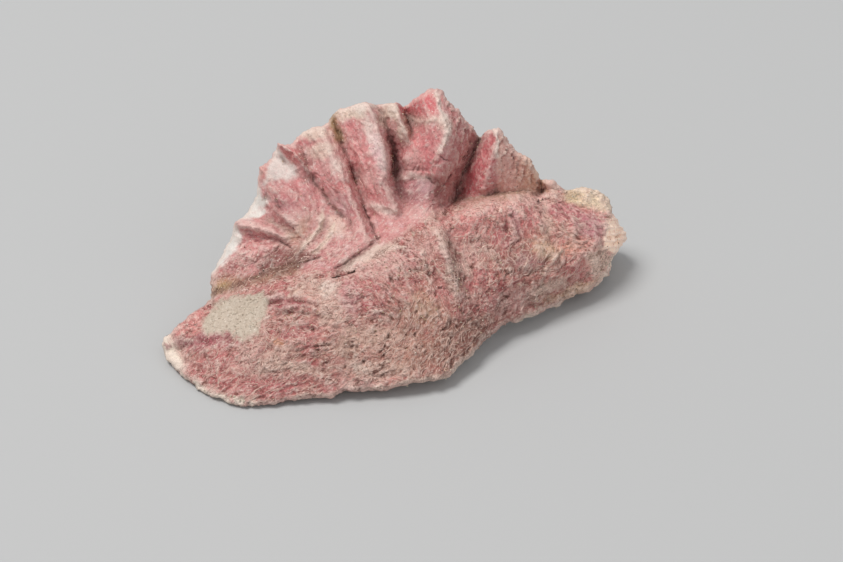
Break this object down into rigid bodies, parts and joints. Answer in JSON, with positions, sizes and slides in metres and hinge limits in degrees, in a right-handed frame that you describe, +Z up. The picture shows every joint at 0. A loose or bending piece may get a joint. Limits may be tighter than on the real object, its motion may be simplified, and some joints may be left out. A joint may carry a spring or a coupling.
{
  "type": "oyster shell",
  "caption": "Valve of a plicate oyster: a thick pink roll in front and a fan of sharp folds rising and leaning back behind it, with a smooth white hollow beneath; lies on a surface.",
  "frame": {"origin": "centre of the bounding box's footprint, on the surface that the valve lies on", "axes": "+Z up, +X along the roll towards its narrow right tip, +Y from the roll towards the fan of folds"},
  "size_m": [0.1048, 0.0524, 0.0451],
  "materials": {
    "shell": "matte"
  },
  "bodies": {
    "root": {"valve": "shell"}
  },
  "joints": []
}
